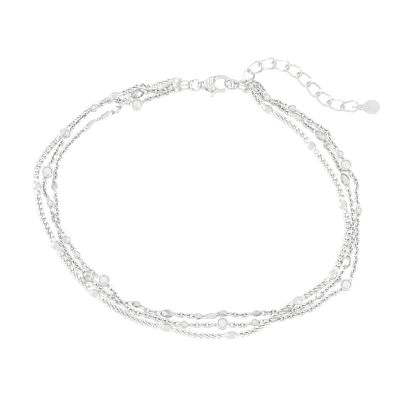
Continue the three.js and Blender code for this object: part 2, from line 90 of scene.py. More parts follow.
# The rings of corners on a cut bead: share of its radius, share of its half length.
BEAD_CUTS = [(0.3, -0.98), (0.76, -0.7), (1.0, -0.25), (1.0, 0.25), (0.76, 0.7), (0.3, 0.98)]
BAR = {"half_length": 1.25, "half_width": 0.62, "half_thickness": 0.24, "twist": 40}
BAR_ENDS = {"fullness": 1.08, "power": 3, "inset": 0.1}
BAR_MESH = {"steps": 21, "sides": 12}

SMALL_SETTING = {"radius": 0.74, "height": 0.95, "stone": 0.56, "floor": 0.3}
LARGE_SETTING = {"radius": 1.2, "height": 1.25, "stone": 0.97, "floor": 0.3}
SETTING_SIDES = 40
# A setting's outside from its middle: the foot in shares of its radius and millimetres up, and
# the wall in shares of its radius and of its height.
CUP_FOOT = [(0.6, 0.0), (0.8, 0.0), (0.86, 0.05), (0.86, 0.12), (0.82, 0.18)]
CUP_WALL = [(0.9, 0.45), (0.97, 0.7), (1.0, 0.82), (1.0, 0.92), (0.975, 0.98), (0.94, 1.0)]
# Its hollow: the lip in shares of the stone's radius, millimetres out from that and millimetres
# down from the cup's top, and the floor in shares of the stone's radius and millimetres up.
CUP_LIP = [(0.93, 0.04, 0.01), (0.93, 0.0, 0.05), (1.0, 0.0, 0.2), (0.94, 0.0, 0.32)]
CUP_FLOOR = [(0.5, 0.12), (0.3, 0.0)]
END_LOOP = {"radius": 0.2, "wire": 0.085}  # at each end of what sits on a chain
LOOP_OVERLAP = 0.06  # how far a loop's wire is sunk into its setting

LARGE_STONE_HEIGHT = 0.92  # from its point to its table
SMALL_STONE_HEIGHT = 0.6
SMALL_STONE_DROP = 0.6  # its point below the top of its cup
# A round cut: the crown's share of the height, and the radius (as a share of the stone's) and
# height (as a share of the crown's or the pavilion's) of each ring of corners.
CROWN_SHARE = 0.33
TABLE_RADIUS = 0.57
KITE_RING = (0.8, 0.62)
PAVILION_RING = (0.36, 0.3)
HALF_GIRDLE = 0.02
CUT_SIDES = 8
FLAT_WITHIN = 0.01  # radians; faces of a cut stone that are this near to flat are one facet

# Radii of the wire of the rings, the end links and the extender's links.
RING_WIRE = {"clasp_ring": 0.2, "hook_ring": 0.21, "tag_ring": 0.13}
LINK_WIRE = 0.15
EXTENDER = {"count": 10, "wire": 0.21, "twist": 38}
# Steps round a loop of wire, and sides of the wire.
CHAIN_MESH = (24, 10)
LOOP_MESH = (16, 8)
RING_MESH = (48, 14)

TAG = {"reach": 3.85, "half_width": 1.48, "neck": 0.6, "thickness": 0.4, "eye_radius": 0.38}
TAG_EDGE = 0.1  # radius of the tag's rounded edges
TAG_SHOULDER = {"start": 0.5, "end": 0.55, "half_width": 0.9}
TAG_EYE_END = 60  # degrees from the tag's axis at which the round of its eye ends
TAG_STEPS = {"eye": 24, "side": 20, "end": 32, "edge": 4}

PIVOT = (-2.1, -0.95)  # the lever's pivot from the middle of the hook's opening
CAST = {"voxel": 0.055, "merge": 1e-4, "smoothing": 0.5, "rounds": 14}
# The collar's ridges stand across the clasp's body: where along it, and how high each reaches.
COLLAR_RIDGES = [(-2.4, 0.95), (-2.0, 1.17), (-1.6, 1.32)]
COLLAR = {"bottom": -1.0, "half_thickness": 0.96, "corner": 0.3, "wire": 0.12, "sunk": 0.2}
COLLAR_MESH = {"corner_steps": 7, "sides": 10}

SMOOTH_BELOW = 40.0  # edges that turn by less than this many degrees are shaded smooth
CUT_BELOW = 5.0  # the same for what is cut in facets

# ---------------------------------------------------------------- driving looks

# the silver's own colour, where no painted shade lies
BRIGHT_SILVER = (0.9, 0.9, 0.895)
# the same silver darkened, a painted shade that tones down the flat and polished parts
SHADED_SILVER = (0.8, 0.8, 0.795)
# painted shade for corners: near black for the chains, grey (SHADED) for the polished parts
PAINTED_CORNER_SHADE = (0.01, 0.01, 0.011)
SHADED = (0.2, 0.2, 0.2)
# Each silver's own colour and the painted shade in its corners, how far in millimetres the
# corners' painted shade reaches, its range of roughness, the share of its colour left at its rims
# as painted shade, the depth of its fine relief in millimetres, and the range of its tint: on
# faceted silver one grey for each facet, a painted reflection, and elsewhere a cloudy tone.
SILVERS = {
    "chain_silver": {
        "own_colour": BRIGHT_SILVER,
        "painted_shade": PAINTED_CORNER_SHADE,
        "reach": 0.26,
        "roughness": (0.14, 0.26),
        "rim": 0.7,
        "relief": 0.004,
        "tint": (0.93, 1.0),
        "faceted": False,
    },
    "cut_silver": {
        "own_colour": BRIGHT_SILVER,
        "painted_shade": PAINTED_CORNER_SHADE,
        "reach": 0.2,
        "roughness": (0.1, 0.2),
        "rim": 0.85,
        "relief": 0.002,
        "tint": (0.6, 0.95),
        "faceted": True,
    },
    "plate_silver": {
        "own_colour": SHADED_SILVER,
        "painted_shade": PAINTED_CORNER_SHADE,
        "reach": 0.2,
        "roughness": (0.12, 0.24),
        "rim": 0.75,
        "relief": 0.003,
        "tint": (0.93, 1.0),
        "faceted": False,
    },
    "polished_silver": {
        "own_colour": SHADED_SILVER,
        "painted_shade": SHADED,
        "reach": 0.26,
        "roughness": (0.14, 0.26),
        "rim": 0.82,
        "relief": 0.002,
        "tint": (0.93, 1.0),
        "faceted": False,
    },
}
SILVER_SPECULAR_TINT = (0.6, 0.6, 0.6, 1)
CORNER_SAMPLES = 8
CORNER_RAMP = (0.43, 0.52)  # how open a place is where the painted corner shade ends and the silver's own colour begins
RIM_SHADE_RANGE = (0.12, 0.6)  # how far the surface has turned away where the painted rim shade begins and ends
FACET_STEP = 0.07  # facets whose normals differ by less than this share one grey of painted reflection
NOISE_RANGE = (0.3, 0.7)  # the part of the noise that is spread over a range
# Noise patterns: scale over a metre, and detail.
TINT_NOISE = (900, 3)
ROUGHNESS_NOISE = (2500, 4)
RELIEF_NOISE = (5200, 2)
STONE = {
    "milky": (0.88, 0.88, 0.875, 1),
    "clear": (1.0, 1.0, 1.0, 1),
    "cloud_noise": (1400, 2),
    "roughness": (0.01, 0.06),
    "roughness_noise": (3000, 2),
    "ior": 2.1,
    "transmission": 0.25,
}

# ---------------------------------------------------------------- routes

# The chains' routes are those of the CAD model: x and y of the chain's middle, how far its
# underside is lifted off the surface, and what sits on the chain there.
CURB_ROUTE = [
    (-8.9, 22.9, 1.15, None),
    (-10.8, 22.3, 0.85, None),
    (-12.4, 22.75, 0.4, None),
    (-13.5, 22.6, 0, None),
    (-15.2, 21.8, 0, None),
    (-17.7, 20.8, 0, "plate"),
    (-20.3, 19.3, 0, None),
    (-23.0, 17.5, 0, None),
    (-27.5, 13.2, 0, "plate"),
    (-30.7, 9.3, 0, None),
    (-32.4, 5.8, 0, None),
    (-32.4, 2.4, 0, "plate"),
    (-31.3, -3.6, 0, None),
    (-28.7, -9.5, 0, "plate"),
    (-26.0, -13.9, 0, None),
    (-23.7, -16.8, 0, None),
    (-21.2, -19.2, 0, "plate"),
    (-17.6, -22.0, 0, None),
    (-12.7, -24.7, 0, None),
    (-7.6, -26.05, 0, "plate"),
    (-1.5, -27.5, 0, None),
    (4.6, -27.5, 0, "plate"),
    (8.4, -26.9, 0.15, None),
    (10.9, -25.6, 0.9, None),
    (12.8, -24.1, 1.05, None),
    (14.9, -22.4, 1.05, None),
    (17.1, -20.7, 0.4, "plate"),
    (20.6, -18.2, 0, None),
    (23.8, -15.4, 0, "plate"),
    (25.2, -12.0, 0, None),
    (25.95, -10.0, 0, None),
    (26.45, -8.0, 0, None),
    (26.55, -4.9, 0, None),
    (25.8, -1.3, 0, "plate"),
    (25.1, 1.7, 0, None),
    (23.5, 5.2, 0, None),
    (22.2, 7.3, 0, None),
    (19.9, 10.6, 0, "plate"),
    (17.1, 13.9, 0, None),
    (14.4, 16.2, 0, None),
    (11.6, 18.1, 0, "plate"),
    (10.1, 19.3, 0.15, None),
]

BEAD_ROUTE = [
    (-8.6, 21.95, 0, None),
    (-10.8, 21.8, 0, None),
    (-13.3, 21.0, 0, "cut_bead"),
    (-15.55, 19.7, 1.0, None),
    (-16.4, 18.7, 0.42, None),
    (-17.2, 17.9, 0, "small_bead"),
    (-19.2, 16.8, 0, "bar"),
    (-22.0, 15.0, 0, "bar"),
    (-25.2, 12.1, 0, None),
    (-28.0, 8.3, 0, None),
    (-28.7, 5.2, 0, None),
    (-29.0, 2.4, 0, "small_bead"),
    (-28.6, -0.5, 0, None),
    (-28.4, -2.9, 0, None),
    (-28.15, -5.2, 0, None),
    (-27.8, -8.0, 0, None),
    (-27.0, -10.2, 0, None),
    (-25.35, -12.8, 0, None),
    (-22.5, -15.95, 0, "cut_bead"),
    (-19.8, -18.6, 0, None),
    (-17.1, -20.6, 0, None),
    (-15.6, -21.1, 0, None),
    (-13.3, -21.4, 0, "small_bead"),
    (-10.8, -22.7, 0, None),
    (-7.5, -23.3, 0, "cut_bead"),
    (-1.7, -23.8, 0, "small_bead"),
    (0.6, -23.7, 0, "bar"),
    (3.1, -23.2, 0, "small_bead"),
    (6.3, -23.5, 0, None),
    (9.3, -23.2, 0, "small_bead"),
    (13.7, -22.8, 0, None),
    (16.2, -22.55, 0, None),
    (19.6, -20.9, 0, None),
    (21.3, -19.6, 0, "small_bead"),
    (24.8, -16.3, 0, None),
    (26.4, -13.0, 0, "cut_bead"),
    (27.3, -9.8, 0, None),
    (27.65, -6.8, 0, None),
    (27.65, -4.0, 0, None),
    (27.3, -0.3, 0, None),
    (26.8, 1.9, 0, None),
    (26.3, 3.6, 0, "cut_bead"),
    (24.9, 6.6, 0, None),
    (24.2, 8.2, 0, None),
    (22.8, 10.6, 0, "small_bead"),
    (21.7, 12.5, 0, "cut_bead"),
    (19.0, 14.8, 0, None),
    (17.1, 16.5, 0, "bar"),
    (15.5, 17.35, 0, None),
    (14.3, 18.3, 0, None),
    (13.1, 19.2, 0, None),
    (11.7, 20.0, 0, None),
    (10.6, 20.7, 0.05, None),
    (9.9, 21.5, 0.6, None),
]

STONE_ROUTE = [
    (-8.2, 21.1, 0.2, None),
    (-9.9, 20.6, 0, None),
    (-11.5, 20.0, 0, None),
    (-13.4, 18.9, 0, "large_setting"),
    (-15.2, 19.55, 0, None),
    (-16.7, 19.8, 0, None),
    (-17.7, 19.75, 0.75, None),
    (-18.6, 19.5, 0.95, None),
    (-21.6, 18.0, 0.8, "small_setting"),
    (-24.4, 15.5, 0.8, None),
    (-26.6, 12.7, 0.95, "small_setting"),
    (-28.9, 9.0, 0.15, None),
    (-30.4, 5.2, 0, "large_setting"),
    (-31.0, 2.0, 0, None),
    (-29.8, -1.1, 0, "small_setting"),
    (-29.3, -3.6, 0.2, None),
    (-28.5, -5.7, 0.85, None),
    (-27.7, -6.9, 0.95, None),
    (-26.95, -7.7, 0.5, None),
    (-26.4, -8.5, 0, "small_setting"),
    (-24.6, -11.45, 0, "small_setting"),
    (-22.7, -14.0, 0, None),
    (-19.5, -16.7, 0, "large_setting"),
    (-17.7, -19.0, 0.3, None),
    (-16.7, -20.5, 0.85, None),
    (-15.4, -22.0, 0.9, None),
    (-13.6, -22.9, 0.15, None),
    (-11.6, -23.5, 0, None),
    (-7.6, -24.75, 0, None),
    (-4.3, -25.4, 0, "small_setting"),
    (-0.2, -25.5, 0, None),
    (2.9, -25.3, 0, "large_setting"),
    (6.6, -25.5, 0, None),
    (9.0, -25.0, 0, "small_setting"),
    (13.2, -24.4, 0, None),
    (17.0, -23.4, 0, None),
    (20.2, -22.0, 0, None),
    (23.2, -19.7, 0, None),
    (26.3, -17.6, 0, "large_setting"),
    (27.8, -14.4, 0, None),
    (28.3, -11.6, 0, None),
    (28.5, -8.0, 0, None),
    (28.55, -5.4, 0, None),
    (28.8, -2.6, 0, "small_setting"),
    (28.4, 1.0, 0, None),
    (28.4, 3.3, 0.1, None),
    (26.4, 6.25, 0.9, "large_setting"),
    (25.4, 8.8, 0.2, "small_setting"),
    (23.6, 11.8, 0, None),
    (22.9, 13.5, 0, None),
    (19.9, 15.6, 0, None),
    (17.6, 17.4, 0, None),
    (16.4, 18.2, 0, "small_setting"),
    (15.0, 18.6, 0.8, None),
    (13.5, 19.3, 0.81, None),
    (11.5, 20.1, 0.85, "small_setting"),
    (10.9, 21.5, 1.0, None),
    (10.0, 22.7, 1.05, None),
]

# How high a piece's middle lies when it rests on the surface, as in the CAD model.
REST_HEIGHT = {"plate": 0.42, "bar": 0.5, "small_bead": 0.62, "cut_bead": 0.78}

# The end links: the ring that each hangs on, how far the strand's eye sits below the link's
# middle, and how far the strand dips on its way out of the eye.
END_LINKS = {
    "end_link_left_1": {"ring": "clasp_ring", "eye_drop": 0, "dip": 0},
    "end_link_left_2": {"ring": "clasp_ring", "eye_drop": 0, "dip": 0},
    "end_link_left_3": {"ring": "clasp_ring", "eye_drop": 0, "dip": 0},
    "end_link_right_1": {"ring": "hook_ring", "eye_drop": 0.25, "dip": 0.25},
    "end_link_right_2": {"ring": "hook_ring", "eye_drop": 0.08, "dip": 0},
    "end_link_right_3": {"ring": "hook_ring", "eye_drop": 0, "dip": 0},
}


# ---------------------------------------------------------------- camera and studio


def make_camera():
    """The camera looks along +Y and down at the bracelet."""
    data = bpy.data.cameras.new("camera")
    data.lens = CAMERA["lens"]
    data.sensor_width = CAMERA["sensor"]
    data.clip_start, data.clip_end = CAMERA["clip"]
    camera = bpy.data.objects.new("camera", data)
    bpy.context.scene.collection.objects.link(camera)
    lean = math.radians(CAMERA["elevation"])
    back = Vector((0, -math.cos(lean), math.sin(lean)))
    distance = CAMERA["width_seen"] / CAMERA["sensor"] * CAMERA["lens"]
    camera.location = (Vector(CAMERA["aim"]) + back * distance) * MM
    camera.rotation_euler = (math.pi / 2 - lean, 0, 0)
    bpy.context.scene.camera = camera


def make_light(name, size, place, power):
    """A soft rectangular light that faces the origin."""
    data = bpy.data.lights.new(name, "AREA")
    data.shape = "RECTANGLE"
    data.size, data.size_y = size
    data.energy = power
    light = bpy.data.objects.new(name, data)
    light.location = place
    light.rotation_euler = (-Vector(place)).to_track_quat("-Z", "Y").to_euler()
    bpy.context.scene.collection.objects.link(light)


def make_floor():
    """A pale, softly glowing floor, as on a lit shooting table."""
    bpy.ops.mesh.primitive_plane_add(size=FLOOR["size"], location=(0, 0, 0))
    floor = bpy.context.object
    floor.name = "floor"
    material, _, shader = new_material("pale_floor")
    shader.inputs["Base Color"].default_value = (FLOOR["grey"], FLOOR["grey"], FLOOR["grey"], 1)
    shader.inputs["Roughness"].default_value = FLOOR["roughness"]
    shader.inputs["Specular IOR Level"].default_value = 0.0
    shader.inputs["Emission Color"].default_value = (1, 1, 1, 1)
    shader.inputs["Emission Strength"].default_value = FLOOR["glow"]
    floor.data.materials.append(material)


def make_sky():
    """A soft grey sky that is brighter overhead."""
    world = bpy.data.worlds.new("studio")
    bpy.context.scene.world = world
    world.use_nodes = True
    nodes, links = world.node_tree.nodes, world.node_tree.links
    place = nodes.new("ShaderNodeTexCoord")
    split = nodes.new("ShaderNodeSeparateXYZ")
    ramp = nodes.new("ShaderNodeValToRGB")
    ramp.color_ramp.interpolation = "EASE"
    stops = ramp.color_ramp.elements
    stops.new(SKY[1][0])
    for stop, (height, grey) in zip(stops, SKY):
        stop.position = height
        stop.color = (grey, grey, grey, 1)
    links.new(place.outputs["Generated"], split.inputs[0])
    links.new(split.outputs["Z"], ramp.inputs["Fac"])
    links.new(ramp.outputs["Color"], nodes["Background"].inputs["Color"])


def make_studio():
    make_floor()
    make_sky()
    for light in LIGHTS:
        make_light(*light)
    bpy.context.scene.view_settings.view_transform = "Standard"


# ---------------------------------------------------------------- shapes


class Shape:
    """Points in millimetres with the faces between them."""

    def __init__(self, points, faces):
        self.points = np.asarray(points, float).reshape(-1, 3)
        self.faces = faces

    def placed(self, middles, axes):
        """Copies of the shape, one at each middle, turned by its own axes."""
        middles, axes = np.asarray(middles), np.asarray(axes)
        points = middles[:, None] + np.einsum("kij,nj->kni", axes, self.points)
        size = len(self.points)
        faces = [
            tuple(i + size * copy for i in face) for copy in range(len(middles)) for face in self.faces
        ]
        return Shape(points, faces)

    def moved(self, x=0.0, y=0.0, z=0.0):
        return Shape(self.points + (x, y, z), self.faces)


def together(shapes):
    """One shape from several."""
    points, faces, count = [], [], 0
    for shape in shapes:
        points.append(shape.points)
        faces += [tuple(i + count for i in face) for face in shape.faces]
        count += len(shape.points)
    return Shape(np.vstack(points), faces)


def unit(vectors):
    return vectors / np.linalg.norm(vectors, axis=-1, keepdims=True)


def turn_about_x(degrees):
    c, s = math.cos(math.radians(degrees)), math.sin(math.radians(degrees))
    return np.array([[1, 0, 0], [0, c, -s], [0, s, c]])


def circle(radius, sides, offset=0.0):
    angle = 2 * np.pi * (np.arange(sides) + offset) / sides
    return radius * np.stack([np.cos(angle), np.sin(angle)], axis=1)


def skin(sections, closed=False):
    """Faces round each section and from one section to the next; open ends are capped."""
    count, sides = sections.shape[:2]
    faces = []
    for i in range(count if closed else count - 1):
        j = (i + 1) % count
        for k in range(sides):
            m = (k + 1) % sides
            faces.append((i * sides + k, i * sides + m, j * sides + m, j * sides + k))
    if not closed:
        faces.append(tuple(range(sides))[::-1])
        faces.append(tuple(range((count - 1) * sides, count * sides)))
    return Shape(sections, faces)


def swept(path, section, up=(0, 0, 1), closed=False):
    """A section of (across, up) points carried along a path."""
    ahead, behind = np.roll(path, -1, axis=0), np.roll(path, 1, axis=0)
    if not closed:
        ahead[-1], behind[0] = path[-1], path[0]
    tangent = unit(ahead - behind)
    across = unit(np.cross(np.asarray(up, float), tangent))
    lift = np.cross(tangent, across)
    section = np.broadcast_to(section, (len(path), *np.shape(section)[-2:]))
    points = path[:, None] + section[..., :1] * across[:, None] + section[..., 1:] * lift[:, None]
    return skin(points, closed)


def turned(profile, sides):
    """A closed solid of revolution about Z from rows of (radius, height)."""
    rings = [
        np.column_stack([circle(radius, sides), np.full(sides, height)]) for radius, height in profile
    ]
    return skin(np.array(rings))


def link_path(half_length, half_width, steps, twist=0.0):
    """The middle line of a link: straight sides and round ends, turned about its long axis
    from -twist at one end to +twist at the other."""
    straight = half_length - half_width
    quarter = math.pi * half_width / 2
    lap = 4 * (straight + quarter)
    points = []
    for i in range(steps):
        walked = lap * i / steps
        side, rest = divmod(walked + straight, lap / 2)
        if rest < 2 * straight:
            x, y = straight - rest, half_width
        else:
            angle = (rest - 2 * straight) / half_width
            x, y = -straight - half_width * math.sin(angle), half_width * math.cos(angle)
        sign = -1 if side % 2 else 1
        points.append((sign * x, sign * y))
    points = np.array(points)
    tilt = math.radians(twist) * points[:, 0] / half_length
    return np.column_stack([points[:, 0], points[:, 1] * np.cos(tilt), points[:, 1] * np.sin(tilt)])


def wire_link(half_length, half_width, wire, mesh, twist=0.0):
    """A link of round wire, whose mesh has so many steps round it and sides to its wire."""
    steps, sides = mesh
    path = link_path(half_length, half_width, steps, twist)
    return swept(path, circle(wire, sides, 0.5), closed=True)


def wire_ring(size, mesh):
    """A round ring of wire from its radius and its wire's."""
    return wire_link(size["radius"], size["radius"], size["wire"], mesh)


def faceted(profile, sides):
    """A cut bead along X: rings of corners, each turned half a step from the last, with a
    flat triangle between any three neighbours."""
    rings = [
        np.column_stack([np.full(sides, x), circle(radius, sides, 0.5 * (i % 2))])
        for i, (radius, x) in enumerate(profile)
    ]
    faces = [tuple(range(sides))]
    for i in range(len(rings) - 1):
        for k in range(sides):
            a, b = i * sides + k, i * sides + (k + 1) % sides
            c, d = a + sides, b + sides
            faces += [(a, b, d), (a, d, c)] if i % 2 else [(a, b, c), (b, d, c)]
    faces.append(tuple(range((len(rings) - 1) * sides, len(rings) * sides)))
    return Shape(np.vstack(rings), faces)


# ---------------------------------------------------------------- pieces


def make_piece(name, shape, material, node, smooth_below=SMOOTH_BELOW):
    """One object from a shape, on the chain's body in place of a CAD node."""
    mesh = bpy.data.meshes.new(name)
    mesh.from_pydata((shape.points * MM).tolist(), [], shape.faces)
    tidy = bmesh.new()
    tidy.from_mesh(mesh)
    bmesh.ops.recalc_face_normals(tidy, faces=tidy.faces)
    tidy.to_mesh(mesh)
    tidy.free()
    mesh.shade_smooth()
    mesh.set_sharp_from_angle(angle=math.radians(smooth_below))
    mesh.materials.append(material)
    piece = bpy.data.objects.new(name, mesh)
    bpy.context.scene.collection.objects.link(piece)
    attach(piece, "chain")
    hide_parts(node)


def node_points(node):
    """A CAD node's own corner points in millimetres, each once."""
    mesh = frame["nodes"][node].data
    points = np.empty(len(mesh.vertices) * 3, np.float32)
    mesh.vertices.foreach_get("co", points)
    return np.unique(points.reshape(-1, 3).astype(float).round(CORNER_DIGITS), axis=0) / MM


def fitted(node):
    """A node's middle, its axes from longest to shortest as columns, and its half sizes."""
    points = node_points(node)
    middle = points.mean(axis=0)
    _, axes = np.linalg.eigh(np.cov((points - middle).T))
    axes = axes[:, ::-1]
    axes[:, 2] = np.cross(axes[:, 0], axes[:, 1])
    return middle, axes, np.abs((points - middle) @ axes).max(axis=0)


# ---------------------------------------------------------------- chain strands


def catmull_rom(points, t):
    """The CAD model's smooth curve through points, at t from 0 to 1."""
    last = len(points) - 1
    padded = np.vstack([2 * points[0] - points[1], points, 2 * points[-1] - points[-2]])
    place = np.clip(t, 0, 1) * last
    i = np.minimum(place.astype(int), last - 1)
    u = (place - i)[:, None]
    before, start, end, after = padded[i], padded[i + 1], padded[i + 2], padded[i + 3]
    way_in, way_out = (end - before) / 2, (after - start) / 2
    return (
        (2 * start - 2 * end + way_in + way_out) * u**3
        + (3 * end - 3 * start - 2 * way_in - way_out) * u**2
        + way_in * u
        + start
    )


class Strand:
    """A chain's true line, with its length walked out, and the pieces that sit on it."""

    def __init__(self, route, half_height, first_link, last_link):
        start, end = end_of(first_link), end_of(last_link)
        middles = [
            (x, y, max(lift + half_height, REST_HEIGHT.get(piece, 0))) for x, y, lift, piece in route
        ]
        points = np.array([*start["lead"], *middles, *end["lead"][::-1]])
        t = np.linspace(0, 1, STRAND_SAMPLES)
        self.points = catmull_rom(points, t)
        self.points[:, 2] = np.maximum(self.points[:, 2], half_height)
        steps = np.linalg.norm(np.diff(self.points, axis=0), axis=1)
        self.walked = np.concatenate([[0], np.cumsum(steps)])
        self.eyes = [start["eye"], end["eye"]]
        self.stations = [
            (piece, np.interp((i + len(start["lead"])) / (len(points) - 1), t, self.walked))
            for i, (_, _, _, piece) in enumerate(route)
            if piece
        ]

    def points_at(self, walked):
        return np.column_stack([np.interp(walked, self.walked, c) for c in self.points.T])

    def at(self, walked):
        """The chain's middle and its axes at distances along it."""
        walked = np.asarray(walked)
        along = unit(self.points_at(walked + BEND_REACH) - self.points_at(walked - BEND_REACH))
        across = unit(np.cross((0, 0, 1), along))
        return self.points_at(walked), np.stack([along, across, np.cross(along, across)], axis=2)

    def stations_of(self, piece):
        """How far along the chain each piece of one kind sits."""
        return [walked for kind, walked in self.stations if kind == piece]

    def link_places(self, pitch, half_lengths):
        """Where links go: evenly spaced in each run between the pieces."""
        stops = [0.0]
        for piece, walked in self.stations:
            stops += [walked - half_lengths[piece], walked + half_lengths[piece]]
        stops.append(self.walked[-1])
        places = []
        for start, end in zip(stops[::2], stops[1::2]):
            count = max(1, round((end - start) / pitch))
            places += list(start + (end - start) * (np.arange(count) + 0.5) / count)
        return np.array(places)

    def placed(self, shape, piece):
        """The shape at each station of one kind of piece."""
        return shape.placed(*self.at(self.stations_of(piece)))

    def placed_upright(self, shape, piece):
        """The same, each turned to its chain's heading but kept level."""
        middles, axes = self.at(self.stations_of(piece))
        along = unit(axes[:, :, 0] * (1, 1, 0))
        across = np.cross((0, 0, 1), along)
        level = np.stack([along, across, np.cross(along, across)], axis=2)
        return shape.placed(middles, level)


def end_of(link):
    """The eye held by an end link, and the points that lead the strand out of it."""
    middle, axes, half = fitted(link)
    ring_middle = fitted(END_LINKS[link]["ring"])[0]
    way = axes[:, 0] * np.sign(axes[:, 0] @ (middle - ring_middle))
    half_length, half_height = half[0] - LINK_WIRE, half[1] - LINK_WIRE
    drop, dip = END_LINKS[link]["eye_drop"], END_LINKS[link]["dip"]
    out = half_length - half_height + math.sqrt(half_height**2 - drop**2)
    eye = middle + way * out - (0, 0, drop)
    lead = [eye + way * EYE["radius"], eye + way * EYE["lead"] - (0, 0, dip)]
    return {"eye": eye, "lead": lead}


def chain_link(link, twist=0.0):
    """One link of a chain, long enough to hold the next at the chain's pitch."""
    half_length = link["pitch"] / 2 + link["wire"] + link["slack"] / 2
    return wire_link(half_length, link["half_width"], link["wire"], CHAIN_MESH, twist)


def curb_link():
    """A twisted link whose top and bottom are cut flat."""
    shape = chain_link(CURB_LINK, CURB_LINK["twist"])
    shape.points[:, 2] = np.clip(shape.points[:, 2], -CURB_CUT_HEIGHT, CURB_CUT_HEIGHT)
    return shape


def eyes(strand):
    """The round eyes at a strand's two ends."""
    return wire_ring(EYE, CHAIN_MESH).placed(strand.eyes, [np.eye(3)] * 2)


def end_loops(half_length):
    """The small loops at both ends of a piece, standing upright in line with the chain."""
    upright = turn_about_x(90)
    ends = [(-half_length, 0, 0), (half_length, 0, 0)]
    return wire_ring(END_LOOP, LOOP_MESH).placed(ends, [upright, upright])


def cable_links(strand, half_lengths):
    """Oval links, each rolled to the other side from the last."""
    places = strand.link_places(CABLE_LINK["pitch"], half_lengths)
    middles, axes = strand.at(places)
    for i in range(len(axes)):
        axes[i] = axes[i] @ turn_about_x(CABLE_LINK["roll"] * (1 if i % 2 else -1))
    return chain_link(CABLE_LINK).placed(middles, axes)


def plate():
    """An oval disc with a soft rim and gently domed faces."""
    bands, sides = PLATE_RIM["bands"], PLATE_RIM["sides"]
    oval = circle(1, sides) * (PLATE["half_length"], PLATE["half_width"])
    rings = []
    for band in range(1, bands):
        angle = math.pi * (band / bands - 0.5)
        ring = oval * math.cos(angle) ** PLATE_RIM["roundness"]
        height = PLATE["half_height"] * math.sin(angle)
        rings.append(np.column_stack([ring, np.full(sides, height)]))
    return skin(np.array(rings))


def bar():
    """A slim oval bar, twisted a little along its length and rounded off at its ends."""
    x = np.linspace(-1, 1, BAR_MESH["steps"])
    left_over = BAR_ENDS["fullness"] - np.abs(x) ** BAR_ENDS["power"]
    breadth = BAR["half_width"] * np.sqrt(np.clip(left_over, 0, 1))
    path = np.outer(x, (BAR["half_length"] - BAR_ENDS["inset"], 0, 0))
    sections = []
    for place, half in zip(x, breadth):
        section = circle(1, BAR_MESH["sides"]) * (half, BAR["half_thickness"])
        angle = math.radians(BAR["twist"] / 2) * place
        c, s = math.cos(angle), math.sin(angle)
        sections.append(section @ np.array([[c, s], [-s, c]]))
    return swept(path, np.array(sections))


def cut_bead(size):
    """A barrel cut all over with flat facets."""
    profile = [(size["radius"] * out, size["half_length"] * along) for out, along in BEAD_CUTS]
    return faceted(profile, size["sides"])


def setting(size):
    """A round cup with a foot, a tapered wall and a lip drawn over its stone, its foot level
    with the underside of its chain."""
    radius, height, stone = size["radius"], size["height"], size["stone"]
    profile = [
        *((radius * out, up) for out, up in CUP_FOOT),
        *((radius * out, height * up) for out, up in CUP_WALL),
        *((stone * out + more, height - down) for out, more, down in CUP_LIP),
        *((stone * out, size["floor"] + up) for out, up in CUP_FLOOR),
    ]
    return turned(profile, SETTING_SIDES).moved(z=-FINE_RADIUS)


def setting_loops(strand, piece, size):
    """A loop on each side of every setting of a kind, where the chain comes to it."""
    out = size["radius"] + END_LOOP["radius"] - LOOP_OVERLAP
    walked = [station + side * out for station in strand.stations_of(piece) for side in (-1, 1)]
    middles, axes = strand.at(walked)
    return wire_ring(END_LOOP, LOOP_MESH).placed(middles, axes @ turn_about_x(90))


def brilliant(radius, height):
    """A round cut stone, its point at z = 0: a table, kites, a girdle and a pavilion."""
    crown = CROWN_SHARE * height
    girdle = height - crown
    kite_out, kite_up = KITE_RING
    pavilion_out, pavilion_up = PAVILION_RING
    points = [(0, 0, 0)]
    points += [(*p, height) for p in circle(TABLE_RADIUS * radius, CUT_SIDES)]
    points += [(*p, girdle + crown * kite_up) for p in circle(kite_out * radius, CUT_SIDES, 0.5)]
    points += [(*p, girdle + HALF_GIRDLE) for p in circle(radius, 2 * CUT_SIDES)]
    points += [(*p, girdle - HALF_GIRDLE) for p in circle(radius, 2 * CUT_SIDES)]
    points += [(*p, girdle * pavilion_up) for p in circle(pavilion_out * radius, CUT_SIDES, 0.5)]
    hull = bmesh.new()
    for point in points:
        hull.verts.new(point)
    bmesh.ops.convex_hull(hull, input=hull.verts)
    bmesh.ops.dissolve_limit(hull, angle_limit=FLAT_WITHIN, verts=hull.verts, edges=hull.edges)
    hull.verts.index_update()
    shape = Shape([v.co[:] for v in hull.verts], [tuple(v.index for v in f.verts) for f in hull.faces])
    hull.free()
    return shape


# ---------------------------------------------------------------- materials


def new_material(name):
    material = bpy.data.materials.new(name)
    material.use_nodes = True
    tree = material.node_tree
    return material, tree, tree.nodes["Principled BSDF"]


def mapped(tree, value, given, wanted):
    """A value spread from the range that is given to the one that is wanted."""
    spread = tree.nodes.new("ShaderNodeMapRange")
    spread.inputs["From Min"].default_value, spread.inputs["From Max"].default_value = given
    spread.inputs["To Min"].default_value, spread.inputs["To Max"].default_value = wanted
    tree.links.new(value, spread.inputs["Value"])
    return spread.outputs["Result"]


def mapped_noise(tree, pattern, wanted):
    """Noise in the piece's own place, spread over a range."""
    place = tree.nodes.new("ShaderNodeTexCoord")
    noise = tree.nodes.new("ShaderNodeTexNoise")
    noise.inputs["Scale"].default_value, noise.inputs["Detail"].default_value = pattern
    tree.links.new(place.outputs["Object"], noise.inputs["Vector"])
    return mapped(tree, noise.outputs["Fac"], NOISE_RANGE, wanted)


def multiplied(tree, colour, shade):
    """One colour darkened by another."""
    mix = tree.nodes.new("ShaderNodeMix")
    mix.data_type = "RGBA"
    mix.blend_type = "MULTIPLY"
    mix.inputs["Factor"].default_value = 1.0
    tree.links.new(colour, mix.inputs["A"])
    tree.links.new(shade, mix.inputs["B"])
    return mix.outputs["Result"]


